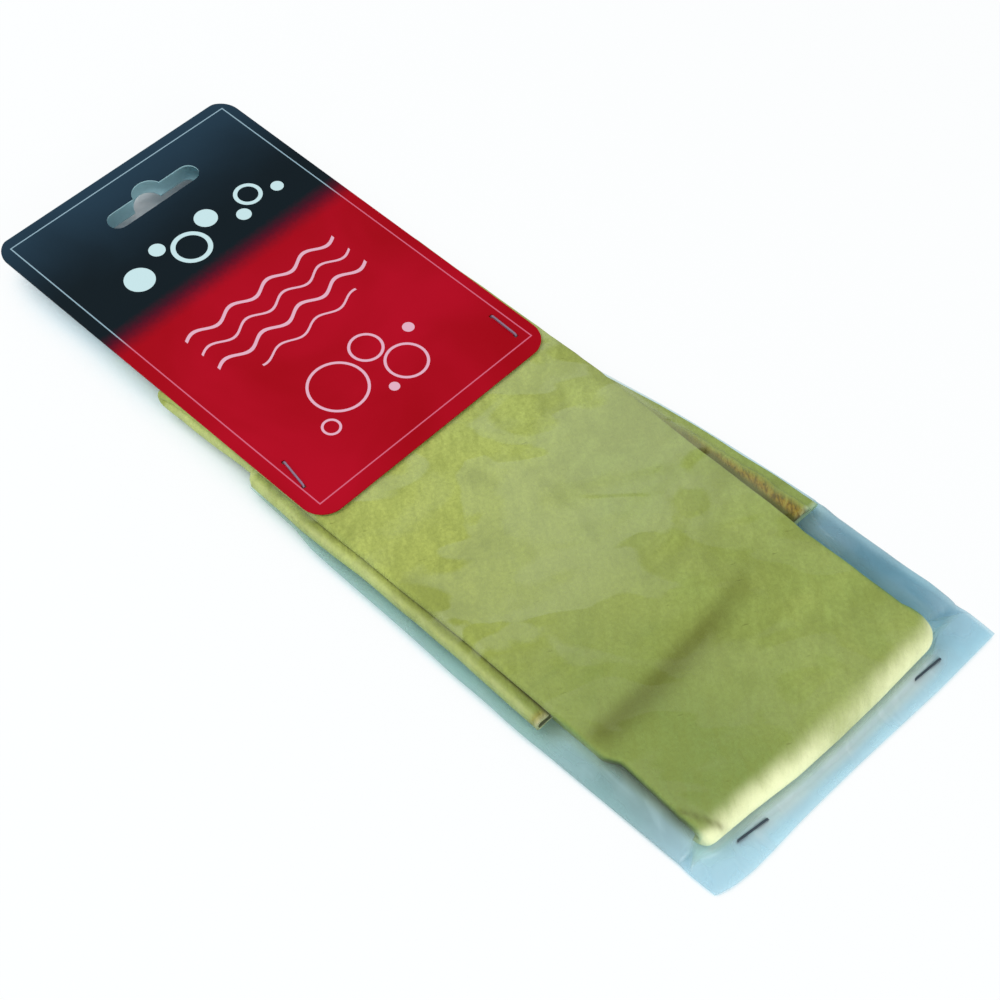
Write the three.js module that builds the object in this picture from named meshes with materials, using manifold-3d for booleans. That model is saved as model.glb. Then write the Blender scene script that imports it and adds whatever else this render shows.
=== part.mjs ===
// A chamois leather in its shop packet, lying on its back. Millimetres, +Z up, +Y towards the hang slot.
// The skin is folded to four plies across and three runs along. It lies in an open film sleeve under
// a fold-over header card, and four wire staples hold the three together.
// Places along the packet are distances below the card's top fold.
import * as THREE from "three";
import { mergeVertices } from "three/addons/utils/BufferGeometryUtils.js";
import Module from "manifold-3d";

const wasm = await Module();
wasm.setup();

// Skin
const PLY = 0.6;
const PLY_GAP = 0.15;
const RUN_GAP = 0.15;
const TOP_FOLD_AT = 70;
const RUN_LENGTH = 190.6;
const INNER_RUN_SHORT = 45.9;
const BOTTOM_RUN_CLEAR = 4;
const DROP_START = 1;
const DROP_LENGTH = 26;
const FOLD_DROP = 1.5;
const FLARE_LENGTH = 64.7;
const NICK_ABOVE_FOLD = 32;
const FREE_END_WIDTH = 97.2;
const FLARE_WIDTH = 88.6;
const TOP_FOLD_WIDTH = 85;
const NICK_WIDTH = 85;
const LOW_FOLD_WIDTH = 83.4;
const BOTTOM_END_WIDTH = 82;
const FREE_END_SHIFT = 0.4;
const FLARE_SHIFT = -2.7;
const TOP_FOLD_SHIFT = -3.1;
const NICK_SHIFT = -3.1;
const LOW_FOLD_SHIFT = -1.6;
const BOTTOM_END_SHIFT = -0.7;
const RAW_SETBACK = 3.7;
const RAW_STAGGER = 1.5;
const ROLL_HOLLOW = 4;

// Header card
const CARD_WIDTH = 85;
const CARD_HEIGHT = 133;
const CARD_BOARD = 0.4;
const CARD_CORNER = 7;
const CARD_SHIFT = -3.9;
const BACK_INSET = 5;
const FOLD_RADIUS = 0.8;
const BACK_RAMP = 38;
const BACK_RAMP_TOP_CURVE = 12;
const BACK_RAMP_FOOT_CURVE = 14;

// Hang slot
const SLOT_WIDTH = 32;
const SLOT_BAR = 6.6;
const SLOT_HEIGHT = 10.2;
const SLOT_BUMP_RADIUS = 5;
const SLOT_BELOW_FOLD = 9.8;
const SLOT_SHIFT = 2.1;

// Film sleeve
const FILM = 0.2;
const SLEEVE_LEFT_SLACK = 1.9;
const SLEEVE_RIGHT_SLACK = 2.7;
const SLEEVE_SPREAD = 0.3;
const SLEEVE_UNDER_CARD = 25;
const SLEEVE_TAIL = 8.4;
const SLEEVE_STEP = 2.5;
const SLEEVE_SETTLE = 10;
const SLEEVE_CREASE = 1.8;
const SLEEVE_SHOULDER = 0.65;
const SLEEVE_FOLD_STEP = THREE.MathUtils.degToRad(30);
const SLEEVE_END_SLOPE = 2.2;
const SLEEVE_LIP = 0.3;
const END_SKEW = THREE.MathUtils.degToRad(2.67);

// Staples
const WIRE = 0.5;
const CROWN = 9.9;
const WIRE_BEND = 0.6;
const CLINCH = 3.2;
const LEG_CLEARANCE = 0.3;
const CARD_STAPLES = [
  { name: "card_staple_left", side: -1, from_side: 5.6, above_edge: 16.3, turn: 79.7 },
  { name: "card_staple_right", side: 1, from_side: 5.9, above_edge: 12.4, turn: 88.2 },
];
const END_STAPLES = [
  { name: "end_staple_left", side: -1, from_side: 18.5, turn: -8.4 },
  { name: "end_staple_right", side: 1, from_side: 20.2, turn: -4.7 },
];
const END_STAPLE_OUT = 3.8;

// Clearances and facets
const LAY_CLEARANCE = 0.2;
const WIRE_CLEARANCE = 0.1;
const PLY_ARC_STEPS = 2;
const RUN_ARC_STEPS = 3;
const CARD_ARC_STEPS = 6;
const WIRE_ARC_STEPS = 2;
const CUT_MARGIN = 5;
const WELD = 1e-4;

// Heights of the layers, from the surface that the packet lies on
const pitch = PLY + PLY_GAP;
const stack = 3 * pitch + PLY;
const back_low = WIRE + WIRE_CLEARANCE;
const sleeve_low_under_card = back_low + CARD_BOARD + LAY_CLEARANCE;
const skin_low = sleeve_low_under_card + FILM + LAY_CLEARANCE;
const run_step = stack + RUN_GAP;
const bottom_mid = skin_low + stack / 2;
const inner_mid = bottom_mid + run_step;
const top_mid = inner_mid + run_step;
const skin_high = top_mid + stack / 2;
const sleeve_high = skin_high + LAY_CLEARANCE + FILM;
const front_low = sleeve_high + LAY_CLEARANCE;
const front_high = front_low + CARD_BOARD;
const end_high = back_low + 2 * FILM + SLEEVE_LIP;

// Places along the packet
const low_fold_at = TOP_FOLD_AT + RUN_LENGTH;
const free_end_at = low_fold_at - INNER_RUN_SHORT;
const bottom_end_at = BACK_RAMP + BOTTOM_RUN_CLEAR;
const sleeve_end_at = low_fold_at + SLEEVE_TAIL;

// The lower fold's round, at the middle of the band and outside it
const fold_turn = (top_mid - FOLD_DROP - bottom_mid) / 2;
const fold_round = fold_turn + stack / 2;

// The folded strip's width and sideways place at marks along it, counted from the inner run's free end
const top_fold_way = free_end_at - TOP_FOLD_AT;
const low_fold_way = top_fold_way + RUN_LENGTH;
const strip_marks = [
  { way: 0, width: FREE_END_WIDTH, shift: FREE_END_SHIFT },
  { way: FLARE_LENGTH, width: FLARE_WIDTH, shift: FLARE_SHIFT },
  { way: top_fold_way, width: TOP_FOLD_WIDTH, shift: TOP_FOLD_SHIFT },
  { way: low_fold_way - NICK_ABOVE_FOLD, width: NICK_WIDTH, shift: NICK_SHIFT },
  { way: low_fold_way, width: LOW_FOLD_WIDTH, shift: LOW_FOLD_SHIFT },
  { way: low_fold_way + low_fold_at - bottom_end_at, width: BOTTOM_END_WIDTH, shift: BOTTOM_END_SHIFT },
];

// Sides of the sleeve, clear of the strip's widest places
const sleeve_left = Math.min(...strip_marks.map((m) => m.shift - m.width / 2)) - SLEEVE_LEFT_SLACK;
const sleeve_right = Math.max(...strip_marks.map((m) => m.shift + m.width / 2)) + SLEEVE_RIGHT_SLACK;
const sleeve_end_sides = [sleeve_left - SLEEVE_SPREAD, sleeve_right + SLEEVE_SPREAD];

// The cross lines of the packet lean more and more towards its lower end.
function slant(x, along) {
  return -along - x * Math.tan(END_SKEW) * (along / sleeve_end_at);
}

// Points along a path, without the doubled ones where its pieces meet.
function trace(path, steps) {
  const points = path.getPoints(steps);
  return points.filter((point, i) => i === 0 || point.distanceTo(points[i - 1]) > WELD);
}

// The way across a line of points at each of them, lengthened in bends so that a band keeps its thickness.
function miters(points) {
  const ways = points.slice(1).map((point, i) => point.clone().sub(points[i]).normalize());
  return points.map((_, i) => {
    const into = ways[Math.max(i - 1, 0)];
    const out = ways[Math.min(i, ways.length - 1)];
    const heading = into.clone().add(out).normalize();
    return new THREE.Vector2(-heading.y, heading.x).divideScalar(heading.dot(out));
  });
}

// Outline of a band of even thickness along a line of points.
function ribbon(points, thickness) {
  const across = miters(points);
  const side = (reach) => points.map((point, i) => point.clone().addScaledVector(across[i], reach));
  return [...side(thickness / 2), ...side(-thickness / 2).reverse()];
}

// Surface through rings of equally many points: closed on itself, or capped by triangles of the end rings.
function loft(rings, cap) {
  const count = rings[0].length;
  const positions = rings.flat().flatMap((p) => [p.x, p.y, p.z]);
  const faces = [];
  const spans = cap ? rings.length - 1 : rings.length;
  for (let i = 0; i < spans; i++) {
    const near = i * count;
    const far = ((i + 1) % rings.length) * count;
    for (let j = 0; j < count; j++) {
      const next = (j + 1) % count;
      faces.push(near + j, near + next, far + next);
      faces.push(near + j, far + next, far + j);
    }
  }
  if (cap) {
    const last = (rings.length - 1) * count;
    cap.forEach(([a, b, c]) => {
      faces.push(a, b, c);
      faces.push(last + a, last + c, last + b);
    });
  }
  const geometry = new THREE.BufferGeometry();
  geometry.setAttribute("position", new THREE.Float32BufferAttribute(positions, 3));
  geometry.setIndex(faces);
  return geometry;
}

function toSolid(geometry) {
  const bare = geometry.clone();
  bare.deleteAttribute("normal");
  bare.deleteAttribute("uv");
  const merged = mergeVertices(bare, WELD);
  const vertProperties = merged.attributes.position.array;
  const triVerts = new Uint32Array(merged.index.array);
  return new wasm.Manifold(new wasm.Mesh({ numProp: 3, vertProperties, triVerts }));
}

function toGeometry(solid) {
  const { vertProperties, triVerts } = solid.getMesh();
  const geometry = new THREE.BufferGeometry();
  geometry.setAttribute("position", new THREE.BufferAttribute(vertProperties, 3));
  geometry.setIndex(new THREE.BufferAttribute(triVerts, 1));
  geometry.computeVertexNormals();
  return geometry;
}

function prism(shape, low, high, curveSegments) {
  const options = { depth: high - low, bevelEnabled: false, curveSegments };
  return new THREE.ExtrudeGeometry(shape, options).translate(0, 0, low);
}

// Skin: four plies across. Two nested folds lie on the left, one fold and both raw edges on the right.
// The raw edges are the upper plies of the inner run, and so the lower ones of the run that turns over it.
function foldedSection(left, right) {
  const level = (ply) => stack / 2 - PLY / 2 - ply * pitch;
  const roll = 1.5 * pitch;
  const turn = pitch / 2;
  const roll_at = left + roll + PLY / 2;
  const path = new THREE.Path();
  path.moveTo(right - RAW_SETBACK, level(0));
  path.lineTo(roll_at, level(0));
  path.absarc(roll_at, 0, roll, 0.5 * Math.PI, 1.5 * Math.PI, false);
  path.absarc(right - turn - PLY / 2, level(2.5), turn, -0.5 * Math.PI, 0.5 * Math.PI, false);
  path.absarc(roll_at + ROLL_HOLLOW, 0, turn, 1.5 * Math.PI, 0.5 * Math.PI, true);
  path.lineTo(right - RAW_SETBACK - RAW_STAGGER, level(1));
  return ribbon(trace(path, PLY_ARC_STEPS), PLY);
}

// Skin: the inner run turns over at the top into the long outer run, which drops past the inner run's
// free end and turns under into the bottom run.
function runPath() {
  const turn = run_step / 2;
  const top_turn_at = -TOP_FOLD_AT - turn - stack / 2;
  const low_turn_at = -low_fold_at + fold_round;
  const drop_from = -free_end_at - DROP_START;
  const drop_to = drop_from - DROP_LENGTH;
  const dropped = top_mid - FOLD_DROP;
  const path = new THREE.Path();
  path.moveTo(-free_end_at, inner_mid);
  path.lineTo(-free_end_at + FLARE_LENGTH, inner_mid);
  path.lineTo(top_turn_at, inner_mid);
  path.absarc(top_turn_at, inner_mid + turn, turn, -0.5 * Math.PI, 0.5 * Math.PI, false);
  path.lineTo(drop_from, top_mid);
  path.bezierCurveTo(
    drop_from - DROP_LENGTH / 2, top_mid,
    drop_to + DROP_LENGTH / 2, dropped,
    drop_to, dropped,
  );
  path.absarc(low_turn_at, bottom_mid + fold_turn, fold_turn, 0.5 * Math.PI, 1.5 * Math.PI, false);
  path.lineTo(-bottom_end_at, bottom_mid);
  return trace(path, RUN_ARC_STEPS);
}

// Left and right edge of the strip, by the way along it from the inner run's free end.
function stripEdges(way) {
  const last = strip_marks.length - 1;
  const past = strip_marks.findIndex((mark) => mark.way >= way);
  const end = past < 0 ? last : Math.max(past, 1);
  const from = strip_marks[end - 1];
  const to = strip_marks[end];
  const share = Math.min((way - from.way) / (to.way - from.way), 1);
  const width = THREE.MathUtils.lerp(from.width, to.width, share);
  const shift = THREE.MathUtils.lerp(from.shift, to.shift, share);
  return [shift - width / 2, shift + width / 2];
}

function skin() {
  const path = runPath();
  const across = miters(path);
  let way = 0;
  const rings = path.map((point, i) => {
    way += i ? point.distanceTo(path[i - 1]) : 0;
    return foldedSection(...stripEdges(way)).map((p) => {
      const at = point.clone().addScaledVector(across[i], p.y);
      return new THREE.Vector3(p.x, slant(p.x, -at.x), at.y);
    });
  });
  const cap = THREE.ShapeUtils.triangulateShape(foldedSection(...stripEdges(0)), []);
  return loft(rings, cap);
}

// Header card: one board folded over at the top, with rounded corners and the slot through both panels.
function slotPath() {
  const end = SLOT_BAR / 2;
  const run = SLOT_WIDTH / 2 - end;
  const middle = CARD_SHIFT + SLOT_SHIFT;
  const bar_at = -SLOT_BELOW_FOLD - SLOT_HEIGHT + end;
  const bump_at = -SLOT_BELOW_FOLD - SLOT_BUMP_RADIUS;
  const lean = Math.asin((bar_at + end - bump_at) / SLOT_BUMP_RADIUS);
  const path = new THREE.Path();
  path.absarc(middle - run, bar_at, end, 0.5 * Math.PI, 1.5 * Math.PI, false);
  path.absarc(middle + run, bar_at, end, -0.5 * Math.PI, 0.5 * Math.PI, false);
  path.absarc(middle, bump_at, SLOT_BUMP_RADIUS, lean, Math.PI - lean, false);
  path.closePath();
  return path;
}

function panelShape(inset) {
  const left = CARD_SHIFT - CARD_WIDTH / 2 + inset;
  const right = CARD_SHIFT + CARD_WIDTH / 2 - inset;
  const r = CARD_CORNER;
  const shape = new THREE.Shape();
  shape.absarc(left + r, -r, r, 0.5 * Math.PI, Math.PI, false);
  shape.absarc(left + r, -CARD_HEIGHT + r, r, Math.PI, 1.5 * Math.PI, false);
  shape.absarc(right - r, -CARD_HEIGHT + r, r, 1.5 * Math.PI, 2 * Math.PI, false);
  shape.absarc(right - r, -r, r, 0, 0.5 * Math.PI, false);
  shape.closePath();
  shape.holes.push(slotPath());
  return shape;
}

function cardBand() {
  const front_mid = front_low + CARD_BOARD / 2;
  const back_mid = back_low + CARD_BOARD / 2;
  const fold_at = -FOLD_RADIUS - CARD_BOARD / 2;
  const path = new THREE.Path();
  path.moveTo(-CARD_HEIGHT, front_mid);
  path.lineTo(fold_at, front_mid);
  path.absarc(fold_at, front_mid - FOLD_RADIUS, FOLD_RADIUS, 0.5 * Math.PI, -0.5 * Math.PI, true);
  const ramp_slope = (front_mid - back_mid - 2 * FOLD_RADIUS) / BACK_RAMP;
  const leave_high = front_mid - 2 * FOLD_RADIUS - BACK_RAMP_TOP_CURVE * ramp_slope;
  path.bezierCurveTo(
    fold_at - BACK_RAMP_TOP_CURVE, leave_high,
    -BACK_RAMP + BACK_RAMP_FOOT_CURVE, back_mid,
    -BACK_RAMP, back_mid,
  );
  path.lineTo(-CARD_HEIGHT, back_mid);
  const band = new THREE.Shape(ribbon(trace(path, CARD_ARC_STEPS), CARD_BOARD));
  const axes = new THREE.Matrix4().makeBasis(
    new THREE.Vector3(0, 1, 0),
    new THREE.Vector3(0, 0, 1),
    new THREE.Vector3(1, 0, 0),
  );
  const reach = CARD_WIDTH / 2 + CUT_MARGIN;
  return prism(band, CARD_SHIFT - reach, CARD_SHIFT + reach).applyMatrix4(axes);
}

function card() {
  const split = front_low - 2 * FOLD_RADIUS;
  const front = toSolid(prism(panelShape(0), split, front_high + CUT_MARGIN, CARD_ARC_STEPS));
  const back = toSolid(prism(panelShape(BACK_INSET), -CUT_MARGIN, split, CARD_ARC_STEPS));
  return toSolid(cardBand()).intersect(front.add(back));
}

// Film sleeve: a flat tube, open at the mouth under the card and at its stapled lower end. A ring across it runs
// along the bottom, up to the side crease, over a shoulder and along the top.
function sleeveRing({ along, low, high, crease_high, foot, crease, shoulder, head }, inset) {
  const shoulder_high = THREE.MathUtils.lerp(crease_high, high, SLEEVE_SHOULDER);
  const outline = [
    [foot[0], low + inset],
    [foot[1], low + inset],
    [crease[1] - 2 * inset, crease_high],
    [shoulder[1] - inset, shoulder_high],
    [head[1] - inset, high - inset],
    [head[0] + inset, high - inset],
    [shoulder[0] + inset, shoulder_high],
    [crease[0] + 2 * inset, crease_high],
  ];
  return outline.map(([x, z]) => new THREE.Vector3(x, slant(x, along - inset), z));
}

function sleeve() {
  const over = LAY_CLEARANCE + FILM;
  const under_card = sleeve_low_under_card;
  const round = ([left, right]) => [left - over, right + over];
  const topRun = (along) => round(stripEdges(top_fold_way + along - TOP_FOLD_AT));
  const innerRun = (along) => round(stripEdges(free_end_at - along));
  const bottomRun = (along) => round(stripEdges(low_fold_way + low_fold_at - along));
  const mouth_at = CARD_HEIGHT - SLEEVE_UNDER_CARD;
  const card_edge = CARD_HEIGHT + SLEEVE_STEP;
  const run_end = free_end_at + DROP_START;
  const drop_end = run_end + DROP_LENGTH / 2;
  const rightCrease = (along) => {
    const share = (along - card_edge) / (run_end - card_edge);
    return THREE.MathUtils.lerp(innerRun(card_edge)[1], sleeve_right, share);
  };
  const bagged = (along, low, high, crease, shoulder) => ({
    along,
    low,
    high,
    crease_high: low + SLEEVE_CREASE,
    foot: bottomRun(along),
    crease,
    shoulder,
    head: topRun(along),
  });
  const overInner = (along, low, crease) => bagged(along, low, sleeve_high, crease, innerRun(along));
  const straight = (along, high) => {
    const sides = [sleeve_left, sleeve_right];
    const slope = topRun(along).map((x, i) => THREE.MathUtils.lerp(sides[i], x, SLEEVE_SHOULDER));
    return bagged(along, back_low, high, sides, slope);
  };
  const overFold = (step) => {
    const reach = (fold_round + over) / Math.cos(SLEEVE_FOLD_STEP / 2);
    const along = low_fold_at - fold_round + reach * Math.sin(step * SLEEVE_FOLD_STEP);
    return straight(along, bottom_mid + fold_turn + reach * Math.cos(step * SLEEVE_FOLD_STEP));
  };
  const flat = (along) => {
    const flats = [sleeve_end_sides[0] + 2 * FILM, sleeve_end_sides[1] - 2 * FILM];
    return {
      along,
      low: back_low,
      high: end_high,
      crease_high: (back_low + end_high) / 2 - FILM / 2,
      foot: flats,
      crease: sleeve_end_sides,
      shoulder: sleeve_end_sides,
      head: flats,
    };
  };
  const stations = [
    overInner(mouth_at, under_card, innerRun(mouth_at)),
    overInner(card_edge, under_card, [sleeve_left, rightCrease(card_edge)]),
    overInner(card_edge + SLEEVE_SETTLE, back_low, [sleeve_left, rightCrease(card_edge + SLEEVE_SETTLE)]),
    overInner(run_end, back_low, [sleeve_left, sleeve_right]),
    straight(drop_end, sleeve_high),
    overFold(0),
    overFold(1),
    overFold(2),
    flat(low_fold_at + over + SLEEVE_END_SLOPE),
    flat(sleeve_end_at),
  ];
  const outer = stations.map((station) => sleeveRing(station, 0));
  const inner = stations.map((station) => sleeveRing(station, FILM));
  return toSolid(loft([...outer, ...inner.reverse()]));
}

// Staples: flat wire, crown on the front, legs clinched inwards behind.
function staplePlaces() {
  const on_card = CARD_STAPLES.map(({ name, side, from_side, above_edge, turn }) => ({
    name,
    turn: THREE.MathUtils.degToRad(turn),
    x: CARD_SHIFT + side * (CARD_WIDTH / 2 - from_side),
    y: -CARD_HEIGHT + above_edge,
    seat: front_high,
  }));
  const at_end = END_STAPLES.map(({ name, side, from_side, turn }) => {
    const x = (side < 0 ? sleeve_end_sides[0] : sleeve_end_sides[1]) - side * from_side;
    return {
      name,
      turn: THREE.MathUtils.degToRad(turn),
      x,
      y: slant(x, low_fold_at + END_STAPLE_OUT),
      seat: end_high,
    };
  });
  return [...on_card, ...at_end];
}

function staple({ seat }) {
  const half = (CROWN - WIRE) / 2;
  const r = WIRE_BEND;
  const high = seat + WIRE_CLEARANCE + WIRE / 2;
  const low = WIRE / 2;
  const path = new THREE.Path();
  path.moveTo(-half + CLINCH, low);
  path.lineTo(-half + r, low);
  path.absarc(-half + r, low + r, r, 1.5 * Math.PI, Math.PI, true);
  path.absarc(-half + r, high - r, r, Math.PI, 0.5 * Math.PI, true);
  path.absarc(half - r, high - r, r, 0.5 * Math.PI, 0, true);
  path.absarc(half - r, low + r, r, 0, -0.5 * Math.PI, true);
  path.lineTo(half - CLINCH, low);
  const wire = new THREE.Shape(ribbon(trace(path, WIRE_ARC_STEPS), WIRE));
  return prism(wire, -WIRE / 2, WIRE / 2).rotateX(0.5 * Math.PI);
}

// Square holes for the legs.
function legHoles(places) {
  const width = WIRE + 2 * LEG_CLEARANCE;
  const half = (CROWN - WIRE) / 2;
  const holes = places.flatMap(({ x, y, turn, seat }) =>
    [-half, half].map((leg) => {
      const hole = new THREE.BoxGeometry(width, width, seat + 2 * CUT_MARGIN);
      return toSolid(hole.translate(leg, 0, seat / 2).rotateZ(turn).translate(x, y, 0));
    }),
  );
  return holes.reduce((all, hole) => all.add(hole));
}

function finish(name, geometry, colour, roughness, metalness) {
  const material = new THREE.MeshStandardMaterial({ color: colour, roughness, metalness });
  const mesh = new THREE.Mesh(geometry, material);
  mesh.name = name;
  return mesh;
}

function build() {
  const places = staplePlaces();
  const holes = legHoles(places);
  const packet = new THREE.Group();
  packet.add(finish("chamois_skin", toGeometry(toSolid(skin()).subtract(holes)), 0xa9ae5c, 0.85, 0));
  packet.add(finish("film_sleeve", toGeometry(sleeve().subtract(holes)), 0xb9d3de, 0.15, 0));
  packet.add(finish("header_card", toGeometry(card().subtract(holes)), 0xa50d26, 0.35, 0));
  places.forEach((place) => {
    const mesh = finish(place.name, staple(place), 0x6f757c, 0.35, 1);
    mesh.position.set(place.x, place.y, 0);
    mesh.rotation.z = place.turn;
    packet.add(mesh);
  });
  const box = new THREE.Box3().setFromObject(packet);
  const middle = box.getCenter(new THREE.Vector3());
  packet.position.set(-middle.x, -middle.y, -box.min.z);
  const root = new THREE.Group();
  root.add(packet);
  return root;
}

export default build();
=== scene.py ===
"""Looks for a chamois leather in its shop packet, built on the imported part's frame.

The skin and the film sleeve are modelled here as soft sheets, in the places of their solids. The card and the
staples are the part's own solids with new materials. Sizes in the tables are millimetres in the part's own
terms: x across the packet, and the distance along it below the card's top fold.
"""
import math

import bpy
import numpy as np
from mathutils import Matrix, Vector


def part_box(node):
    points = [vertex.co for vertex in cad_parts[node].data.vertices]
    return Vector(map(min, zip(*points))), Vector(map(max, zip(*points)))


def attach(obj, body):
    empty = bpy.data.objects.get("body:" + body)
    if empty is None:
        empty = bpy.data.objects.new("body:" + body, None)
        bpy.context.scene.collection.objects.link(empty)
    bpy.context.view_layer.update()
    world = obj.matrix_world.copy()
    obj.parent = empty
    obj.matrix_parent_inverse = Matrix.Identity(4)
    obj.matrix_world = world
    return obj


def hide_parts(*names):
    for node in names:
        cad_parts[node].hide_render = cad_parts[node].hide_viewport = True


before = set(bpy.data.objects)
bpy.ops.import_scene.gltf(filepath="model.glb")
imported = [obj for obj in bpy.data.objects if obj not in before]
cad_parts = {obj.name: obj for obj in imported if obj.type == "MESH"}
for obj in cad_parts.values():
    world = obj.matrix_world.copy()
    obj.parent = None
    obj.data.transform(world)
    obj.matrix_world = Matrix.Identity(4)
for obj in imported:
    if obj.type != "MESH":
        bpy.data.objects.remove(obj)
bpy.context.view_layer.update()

MM = 0.001
NOISE_CELLS = 128

# Camera of the photograph
CAMERA_AT = Vector((-0.23716, -0.23341, 0.43756))
CAMERA_AZIMUTH = math.radians(-47.29)
CAMERA_ELEVATION = math.radians(54.115)
CAMERA_ROLL = math.radians(1.294)
CAMERA_LENS = 74.7
CAMERA_SENSOR = 36.0

# Packet: the card's middle lies off the packet's, and lines across lean more towards the lower end
CARD_SHIFT = -3.9
END_SKEW = math.tan(math.radians(2.67))
SLEEVE_END_AT = 269.0

# Skin: four plies in a run, and the heights of the three runs' middles
PLY = 0.6
PITCH = 0.75
STACK = 3 * PITCH + PLY
BOTTOM_MID = 3.025
INNER_MID = 6.025
TOP_MID = 9.025

# Skin: parts of the strip, in order from its free end
INNER_RUN = 0
TOP_TURN_PART = 0.5
TOP_RUN = 1
LOW_FOLD_PART = 1.5
BOTTOM_RUN = 2

# Skin: folds and ends
TOP_FOLD_AT = 70.0
TOP_TURN = (TOP_MID - INNER_MID) / 2
FREE_END_AT = 214.7
FREE_END_LEAN = 3.0
DROP_FROM = FREE_END_AT + 1.0
DROP_TO = FREE_END_AT + 27.0
LOW_FOLD_AT = 260.6
FOLD_DROP = 0.9
FOLD_UNDER = 1.7
FOLD_OVER = TOP_MID - FOLD_DROP - BOTTOM_MID - FOLD_UNDER
FOLD_REACH = 8.0
FOLD_FROM = LOW_FOLD_AT - STACK / 2 - FOLD_REACH
BOTTOM_END_AT = 42.0

# Skin: raw edges on the right, roll on the left, and widths of finer mesh beside them
RAW_SETBACK = 3.7
RAW_STAGGER = 1.5
RAW_FINE = 10
ROLL_HOLLOW = 4.0
ROLL_PUFF = 0.4
EDGE_PUFF = 0.12
ROLL_FINE = 5

# Skin: steps between the stations of its mesh
INNER_STEP = 1.6
UNDER_CARD_STEP = 5
UNDER_CARD_TO = 128
TOP_STEP = 1.1
BOTTOM_STEP = 4

# Skin: edges of the runs, as (along, x)
TOP_LEFT = (
    (70, -46.3), (92, -45.6), (127, -45.6), (160, -45.5), (180, -45.1), (208, -45.3), (222, -45.7),
    (229.5, -45.9), (233.5, -43.8), (244, -44.3), (253, -44.9), (262, -43.8),
)
TOP_RIGHT = (
    (70, 39.4), (140, 40.2), (165, 39.4), (185, 38.6), (208, 38.0), (220, 37.4), (235, 38.0), (250, 37.8),
    (257, 39.2), (262, 39.6),
)
INNER_LEFT = (
    (70, -46.9), (90, -46.3), (106.2, -45.5), (108.2, -48.2), (128, -48.9), (138, -48.6), (152, -48.1),
    (180, -48.3), (208, -49.1), (214.7, -49.3),
)
INNER_RIGHT = (
    (70, 39.4), (140, 41.4), (150, 43.2), (165, 45.6), (175, 46.8), (185, 47.7), (200, 48.8), (214.7, 49.5),
)
BOTTOM_LEFT = ((42, -41.7), (226, -43.4), (234, -40.4), (250, -40.4), (257, -43.2), (262, -43.8))
BOTTOM_RIGHT = ((42, 40.3), (262, 39.2))

# Skin: how far the lower fold stands out, and the line on which the top run sinks, as (x, along)
FOLD_PUSH = ((-44, 0.7), (-30, 1.3), (-15, 2.5), (0, 2.6), (15, 2.2), (30, 1.4), (40, 0.9))
VALLEY_LINE = ((-36, 224.4), (-20, 223.6), (0, 221.6), (22, 217.0))
VALLEY_ABOVE = 2.8
VALLEY_BELOW = 4.8
VALLEY_DEEP = 0.9

# Skin: ranges across the packet in which a form or a look comes in or goes
VALLEY_STARTS = (-48, -39)
VALLEY_FADES = (-6, 30)
TUCK_ACROSS = (-37, -42.5)
LEAN_ACROSS = (-18, -46)

# Skin: rounded corners of the lower fold
RIGHT_CORNER_FROM = 34.0
RIGHT_CORNER_WIDE = 5.8
RIGHT_CORNER_PULL = 4.6
LEFT_CORNER_FROM = -40.0
LEFT_CORNER_WIDE = 4.6
LEFT_CORNER_PULL = 2.2

# Skin: ranges along the packet in which a form or a look comes in or goes
TOP_COMES_FREE = (134, 152)
TOP_SETTLES = (244, 258)
EDGE_RUFFLES = (228, 236)
FOLD_PUSHES = (244, 257)
FREE_END_LEANS = (185, 214)
# over this range the lower fold's painted highlight comes in
FOLD_HIGHLIGHT_GROWS = (253.5, 260.5)
TUCK_HIDES = (257.0, 259.8)
TUCK_STARTS = (250, 253)
TUCK_STOPS = (259, 261.5)
BAND_BROWNS = (150, 182)
BAND_SHADES = (150, 195)
# over this range the painted shade in the creases beside the top run grows
CREASE_SHADE_GROWS = (142, 172)
GAP_OPENS = (228, 233)
GAP_CLOSES = (248, 254)

# Film: room to the skin, edges as (along, x) and heights as (along, z)
FILM_GAP = 0.25
FILM_LOW = ((108, 1.2), (134, 1.2), (145, 0.62), (270, 0.62))
FOOT_LEFT = ((108, -42.6), (262, -43.9))
CREASE_LEFT = (
    (108, -47.9), (126, -48.7), (133.5, -50.2), (160, -50.6), (180, -51.2), (208, -51.5), (222, -51.2),
    (257, -50.9), (269, -50.5),
)
CREASE_RIGHT = (
    (108, 41.0), (150, 43.4), (170, 46.6), (185, 48.4), (200, 49.8), (209, 51.0), (216, 52.4), (257, 53.0),
    (269, 52.1),
)
CREASE_LEFT_HIGH = ((108, 3.2), (145, 2.5), (180, 2.1), (208, 1.6), (222, 1.1), (270, 0.95))
CREASE_RIGHT_HIGH = ((108, 3.2), (145, 2.6), (250, 2.4), (262, 1.1), (270, 0.95))
OVER_INNER_HIGH = (6.6, 6.1)

# Film: its tail past the lower fold, with the end's edge as (x, along)
TAIL_HIGH = 1.3
TAIL_FROM = 263.8
TAIL_END = (
    (-51, 269.3), (-47, 270.8), (-40, 271.4), (-32, 271.1), (-20, 270.3), (0, 269.9), (30, 269.9),
    (52, 269.1),
)
LEAVES_FOLD = ((261.5, 3.1), (262.3, 1.9), (263.2, TAIL_HIGH))

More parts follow.
